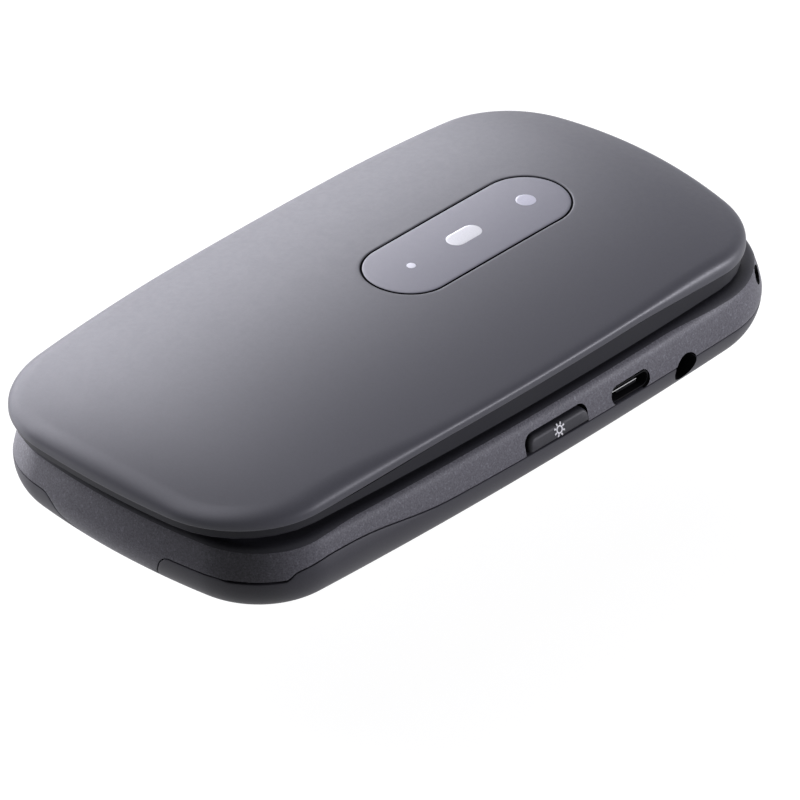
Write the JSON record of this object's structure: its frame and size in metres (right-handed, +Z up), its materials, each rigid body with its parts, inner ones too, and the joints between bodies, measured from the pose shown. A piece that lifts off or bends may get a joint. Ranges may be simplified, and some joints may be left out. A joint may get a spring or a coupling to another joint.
{
  "type": "flip phone",
  "caption": "Closed clamshell mobile phone: domed lid with an oblong lens panel, hinged over a keypad base with USB socket, audio jack and side keys.",
  "frame": {"origin": "middle of the underside of the closed phone, on the table", "axes": "+X to the side with the sockets, +Y to the hinge end, +Z up out of the lid"},
  "size_m": [0.0556, 0.11, 0.02],
  "materials": {
    "lid_grey": "satin painted dark grey",
    "panel_grey": "satin lilac grey",
    "clear_lens": "clear moulded window",
    "inner_grey": "fine matt dark grey",
    "window_black": "polished black",
    "display": "dark display",
    "black_plastic": "matt black",
    "board_green": "green board with solder mask",
    "steel": "bright steel",
    "bumper": "soft black",
    "cable": "amber film",
    "housing_grey": "grained dark grey",
    "cover_grey": "smooth matt dark grey",
    "key_grey": "satin grey with light figures",
    "call_green": "satin grey with a green mark",
    "end_red": "satin grey with a red mark",
    "side_key_grey": "soft dark grey",
    "mat": "milky silicone",
    "domes": "clear film with metal domes",
    "led": "pale yellow",
    "battery": "printed foil"
  },
  "bodies": {
    "base": {"keypad_housing": "housing_grey", "hinge_cartridge": "steel", "display_cable": "cable", "key_mat": "mat", "dome_sheet": "domes", "main_board": "board_green", "rear_chassis": "black_plastic", "sim_holder": "steel", "usb_connector": "steel", "audio_jack": "black_plastic", "torch_led": "led", "torch_lens": "clear_lens", "battery": "battery", "loudspeaker": "black_plastic", "vibration_motor": "steel", "microphone": "steel", "base_screws": "steel"},
    "lid": {"lid_outer_cover": "lid_grey", "lens_panel": "panel_grey", "camera_window": "clear_lens", "flash_window": "clear_lens", "charge_light": "clear_lens", "camera_module": "black_plastic", "lid_inner_frame": "inner_grey", "display_window": "window_black", "display_panel": "display", "earpiece_speaker": "black_plastic", "earpiece_grille": "steel", "lid_board": "board_green", "lid_screws": "steel", "lid_bumpers": "bumper", "hinge_cam_pin": "steel", "hinge_pin": "steel"},
    "battery_cover": {"battery_cover": "cover_grey"},
    "key_1": {"key_1": "key_grey"},
    "key_2": {"key_2": "key_grey"},
    "key_3": {"key_3": "key_grey"},
    "key_4": {"key_4": "key_grey"},
    "key_5": {"key_5": "key_grey"},
    "key_6": {"key_6": "key_grey"},
    "key_7": {"key_7": "key_grey"},
    "key_8": {"key_8": "key_grey"},
    "key_9": {"key_9": "key_grey"},
    "key_star": {"key_star": "key_grey"},
    "key_0": {"key_0": "key_grey"},
    "key_hash": {"key_hash": "key_grey"},
    "key_soft_l": {"key_soft_l": "key_grey"},
    "key_soft_r": {"key_soft_r": "key_grey"},
    "key_call": {"key_call": "call_green"},
    "key_end": {"key_end": "end_red"},
    "key_nav": {"key_nav": "key_grey"},
    "key_ok": {"key_ok": "key_grey"},
    "torch_key": {"torch_key": "side_key_grey"},
    "volume_key": {"volume_key": "side_key_grey"}
  },
  "joints": [
    {"name": "lid_hinge", "type": "hinge", "parent": "base", "child": "lid", "pos_m": [0, 0.0454, 0.0133], "axis": [-1, 0, 0], "range_deg": [0, 145]},
    {"name": "cover_lift_off", "type": "slide", "parent": "base", "child": "battery_cover", "axis": [0, 0, -1], "range_m": [0, 0.015]},
    {"name": "key_1_press", "type": "slide", "parent": "base", "child": "key_1", "axis": [0, 0, -1], "range_m": [0, 0.00025], "stiffness_N_per_m": 1500, "springref_m": -0.0005},
    {"name": "key_2_press", "type": "slide", "parent": "base", "child": "key_2", "axis": [0, 0, -1], "range_m": [0, 0.00025], "stiffness_N_per_m": 1500, "springref_m": -0.0005},
    {"name": "key_3_press", "type": "slide", "parent": "base", "child": "key_3", "axis": [0, 0, -1], "range_m": [0, 0.00025], "stiffness_N_per_m": 1500, "springref_m": -0.0005},
    {"name": "key_4_press", "type": "slide", "parent": "base", "child": "key_4", "axis": [0, 0, -1], "range_m": [0, 0.00025], "stiffness_N_per_m": 1500, "springref_m": -0.0005},
    {"name": "key_5_press", "type": "slide", "parent": "base", "child": "key_5", "axis": [0, 0, -1], "range_m": [0, 0.00025], "stiffness_N_per_m": 1500, "springref_m": -0.0005},
    {"name": "key_6_press", "type": "slide", "parent": "base", "child": "key_6", "axis": [0, 0, -1], "range_m": [0, 0.00025], "stiffness_N_per_m": 1500, "springref_m": -0.0005},
    {"name": "key_7_press", "type": "slide", "parent": "base", "child": "key_7", "axis": [0, 0, -1], "range_m": [0, 0.00025], "stiffness_N_per_m": 1500, "springref_m": -0.0005},
    {"name": "key_8_press", "type": "slide", "parent": "base", "child": "key_8", "axis": [0, 0, -1], "range_m": [0, 0.00025], "stiffness_N_per_m": 1500, "springref_m": -0.0005},
    {"name": "key_9_press", "type": "slide", "parent": "base", "child": "key_9", "axis": [0, 0, -1], "range_m": [0, 0.00025], "stiffness_N_per_m": 1500, "springref_m": -0.0005},
    {"name": "key_star_press", "type": "slide", "parent": "base", "child": "key_star", "axis": [0, 0, -1], "range_m": [0, 0.00025], "stiffness_N_per_m": 1500, "springref_m": -0.0005},
    {"name": "key_0_press", "type": "slide", "parent": "base", "child": "key_0", "axis": [0, 0, -1], "range_m": [0, 0.00025], "stiffness_N_per_m": 1500, "springref_m": -0.0005},
    {"name": "key_hash_press", "type": "slide", "parent": "base", "child": "key_hash", "axis": [0, 0, -1], "range_m": [0, 0.00025], "stiffness_N_per_m": 1500, "springref_m": -0.0005},
    {"name": "key_soft_l_press", "type": "slide", "parent": "base", "child": "key_soft_l", "axis": [0, 0, -1], "range_m": [0, 0.00025], "stiffness_N_per_m": 1500, "springref_m": -0.0005},
    {"name": "key_soft_r_press", "type": "slide", "parent": "base", "child": "key_soft_r", "axis": [0, 0, -1], "range_m": [0, 0.00025], "stiffness_N_per_m": 1500, "springref_m": -0.0005},
    {"name": "key_call_press", "type": "slide", "parent": "base", "child": "key_call", "axis": [0, 0, -1], "range_m": [0, 0.00025], "stiffness_N_per_m": 1500, "springref_m": -0.0005},
    {"name": "key_end_press", "type": "slide", "parent": "base", "child": "key_end", "axis": [0, 0, -1], "range_m": [0, 0.00025], "stiffness_N_per_m": 1500, "springref_m": -0.0005},
    {"name": "key_nav_press", "type": "slide", "parent": "base", "child": "key_nav", "axis": [0, 0, -1], "range_m": [0, 0.00025], "stiffness_N_per_m": 1500, "springref_m": -0.0005},
    {"name": "key_ok_press", "type": "slide", "parent": "base", "child": "key_ok", "axis": [0, 0, -1], "range_m": [0, 0.00025], "stiffness_N_per_m": 1500, "springref_m": -0.0005},
    {"name": "torch_key_press", "type": "slide", "parent": "base", "child": "torch_key", "axis": [-1, 0, 0], "range_m": [0, 0.00035], "stiffness_N_per_m": 1500, "springref_m": -0.0005},
    {"name": "volume_key_press", "type": "slide", "parent": "base", "child": "volume_key", "axis": [1, 0, 0], "range_m": [0, 0.00035], "stiffness_N_per_m": 1500, "springref_m": -0.0005}
  ]
}
